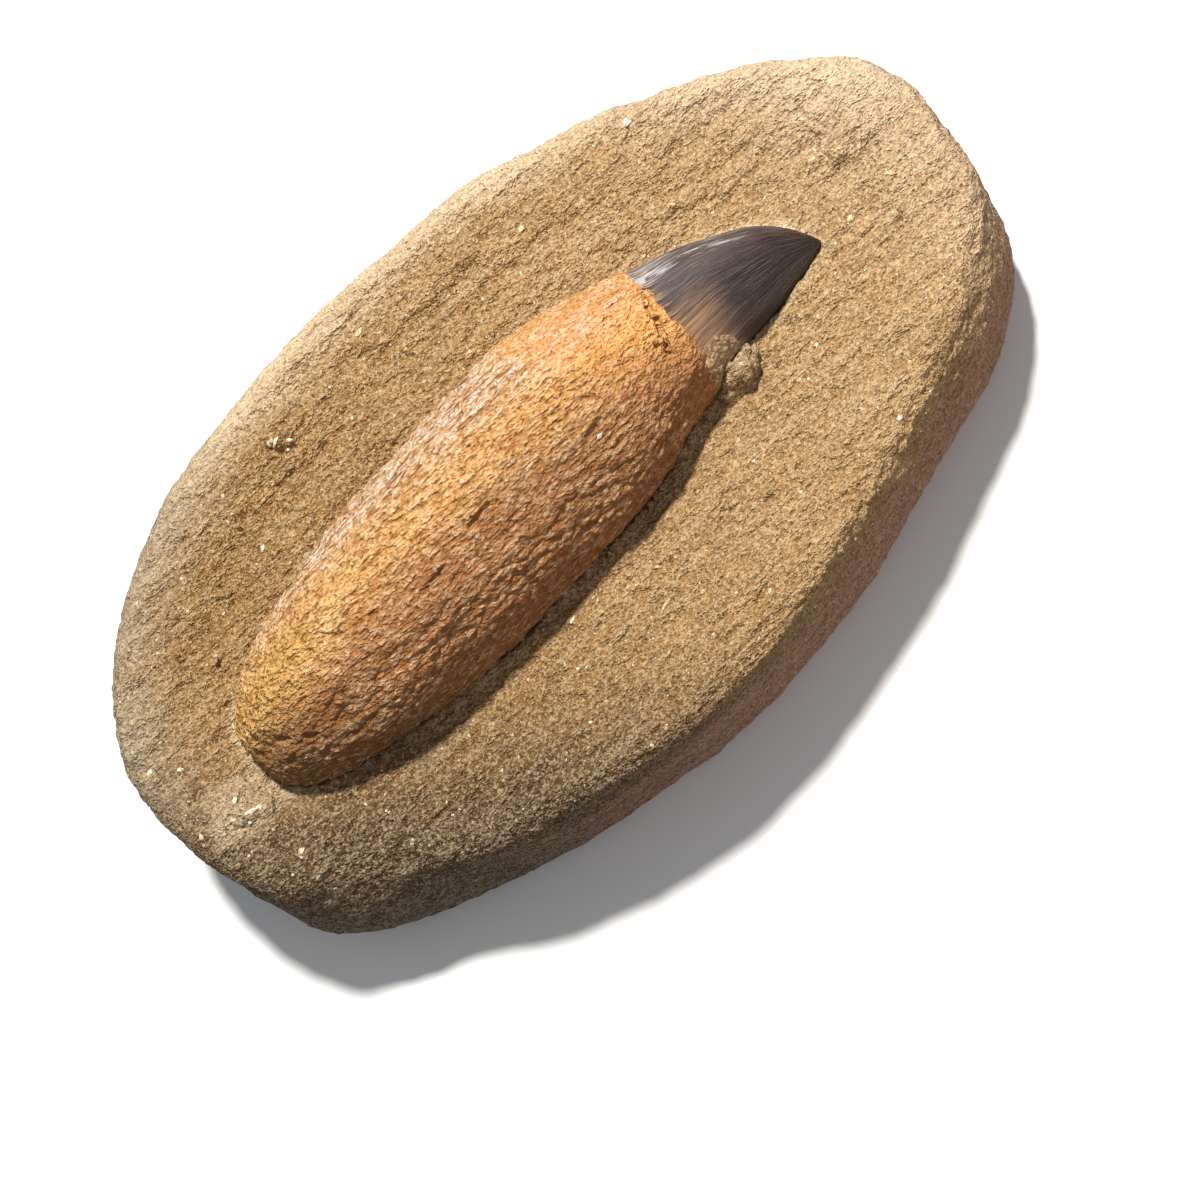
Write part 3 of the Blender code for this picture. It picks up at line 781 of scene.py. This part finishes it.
def shell_chips(stone_surface):
    """Flat chips of shell let down on the stone."""
    points, _ = dropped_on(stone_surface, CHIPS)
    out = np.tile((0.0, 0.0, 1.0), (len(points), 1))
    sizes = [0.85 * length for _, _, length, _, _, _ in CHIPS]
    stretch = [(1.0, breadth / length, 0.36) for _, _, length, breadth, _, _ in CHIPS]
    turns = [math.radians(turn) for _, _, _, _, turn, _ in CHIPS]
    tones = [white for *_, white in CHIPS]
    return pile("shell_chips", points, out, sizes, tones, 41, 0.02, stretch, turns)


def caught_grains(tooth_surface):
    """Single grains let down on the root."""
    points, out = dropped_on(tooth_surface, CAUGHT_GRAINS)
    sizes = [0.75 * size for _, _, size, _ in CAUGHT_GRAINS]
    tones = [white for *_, white in CAUGHT_GRAINS]
    return pile("caught_grains", points, out, sizes, tones, 51, 0.22)


def keep_in_box(piece):
    """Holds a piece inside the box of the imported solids."""
    low = np.array(cad_low) / MM
    high = np.array(cad_high) / MM
    move_to(piece, np.clip(places(piece), low, high))


# ---- studio ----
SUN_HEIGHT = 66.0               # degrees above the floor
LAMP_POWER = 15.5
LAMP_SIZE = 0.09
FILL = 0.38
CARD_POWER = 0.42


def studio():
    """Pale floor, one softbox, a weak warm card low on the near side, and an even fill."""
    bpy.ops.mesh.primitive_plane_add(size=6.0, location=(0.0, 0.0, 0.0))
    floor = bpy.context.object
    floor.name = "floor"
    f = Finish("pale floor")
    floor.data.materials.append(f.surface(Base_Color=(0.82, 0.82, 0.82, 1.0), Roughness=0.9))
    floor.visible_diffuse = False

    toward = Vector((0.37, 0.93, 0.0)).normalized() * math.cos(math.radians(SUN_HEIGHT))
    toward.z = math.sin(math.radians(SUN_HEIGHT))
    bpy.ops.object.light_add(type="AREA", location=toward * 1.0)
    lamp = bpy.context.object
    lamp.name = "softbox"
    lamp.rotation_euler = toward.to_track_quat("Z", "Y").to_euler()
    lamp.data.shape = "DISK"
    lamp.data.size = LAMP_SIZE
    lamp.data.energy = LAMP_POWER
    lamp.data.color = (1.0, 0.965, 0.91)

    toward = Vector((0.62, -0.76, 0.10)).normalized()
    bpy.ops.object.light_add(type="AREA", location=toward * 0.5)
    card = bpy.context.object
    card.name = "bounce_card"
    card.rotation_euler = toward.to_track_quat("Z", "Y").to_euler()
    card.data.size = 0.25
    card.data.energy = CARD_POWER
    card.data.color = (1.0, 0.74, 0.62)

    world = bpy.data.worlds.new("studio")
    bpy.context.scene.world = world
    world.use_nodes = True
    nodes, links = world.node_tree.nodes, world.node_tree.links
    look = nodes.new("ShaderNodeTexCoord")
    height = nodes.new("ShaderNodeSeparateXYZ")
    sky = nodes.new("ShaderNodeMapRange")
    links.new(look.outputs["Generated"], height.inputs[0])
    links.new(height.outputs["Z"], sky.inputs[0])
    for place, value in ((1, -0.4), (2, 0.6), (3, FILL * 0.7), (4, FILL)):
        sky.inputs[place].default_value = value
    links.new(sky.outputs[0], nodes["Background"].inputs["Strength"])
    nodes["Background"].inputs["Color"].default_value = (0.93, 0.96, 1.0, 1.0)

    scene = bpy.context.scene
    scene.view_settings.view_transform = "Standard"
    scene.view_settings.exposure = 0.0


CAMERA_PLACE = (-0.37, -96.12, 307.32)
CAMERA_AIM = (-6.65, -17.23, 22.0)
CAMERA_ROLL = 42.97             # how far the long axis of the block climbs across the picture
LENS = 67.05


def camera():
    """Looks down on the carved face, rolled so that the crown points to the upper right."""
    place = Vector(CAMERA_PLACE)
    ahead = (Vector(CAMERA_AIM) - place).normalized()
    along = Vector((1.0, 0.0, 0.0))
    along = (along - ahead * along.dot(ahead)).normalized()
    right = Quaternion(ahead, math.radians(CAMERA_ROLL)) @ along
    up = right.cross(ahead)
    bpy.ops.object.camera_add()
    eye = bpy.context.object
    turn = Matrix((right, up, -ahead)).transposed().to_4x4()
    turn.translation = place * MM
    eye.matrix_world = turn
    eye.data.lens = LENS
    eye.data.sensor_width = 36.0
    eye.data.clip_start = 0.01
    bpy.context.scene.camera = eye


camera()
studio()

tooth_piece = tooth()
stone_piece = stone()
close_lip(stone_piece, tooth_piece)
spare_top(stone_piece)
spare_bare(tooth_piece)
thin_out(stone_piece, STONE_TRIANGLES)
thin_out(tooth_piece, TOOTH_TRIANGLES)
keep_in_box(stone_piece)
keep_in_box(tooth_piece)
depsgraph = bpy.context.evaluated_depsgraph_get()
tooth_surface = BVHTree.FromObject(tooth_piece, depsgraph)
stone_surface = BVHTree.FromObject(stone_piece, depsgraph)
mark_contact(stone_piece, tooth_surface)
sand_pieces = [
    crumbs("fine_crumbs", stone_piece, tooth_surface, 11, 0.50, 1.5),
    crumbs("upper_crumbs", stone_piece, tooth_surface, 12, 0.46, 20.0),
    crumbs("top_crumbs", stone_piece, tooth_surface, 13, 0.42, 22.0),
    clinging_sand(tooth_piece, stone_surface),
]
chip_pieces = [shell_chips(stone_surface), caught_grains(tooth_surface)]
sand_look, chip_look = grain_finish(), shell_finish()
for piece in sand_pieces:
    piece.data.materials.append(sand_look)
for piece in chip_pieces:
    piece.data.materials.append(chip_look)
for piece in (*sand_pieces, *chip_pieces):
    keep_in_box(piece)
stone_piece.data.materials.append(sandy_matrix())
tooth_piece.data.materials.append(tooth_finish())
for piece in (stone_piece, tooth_piece):
    pick(piece)
    bpy.ops.object.shade_smooth()
for piece in (stone_piece, tooth_piece, *sand_pieces, *chip_pieces):
    piece.data.calc_loop_triangles()
    print(piece.name, len(piece.data.loop_triangles), "triangles")

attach(stone_piece, "root")
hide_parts("matrix")
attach(tooth_piece, "root")
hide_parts("tooth")

for piece in (*sand_pieces, *chip_pieces):
    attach(piece, "root")
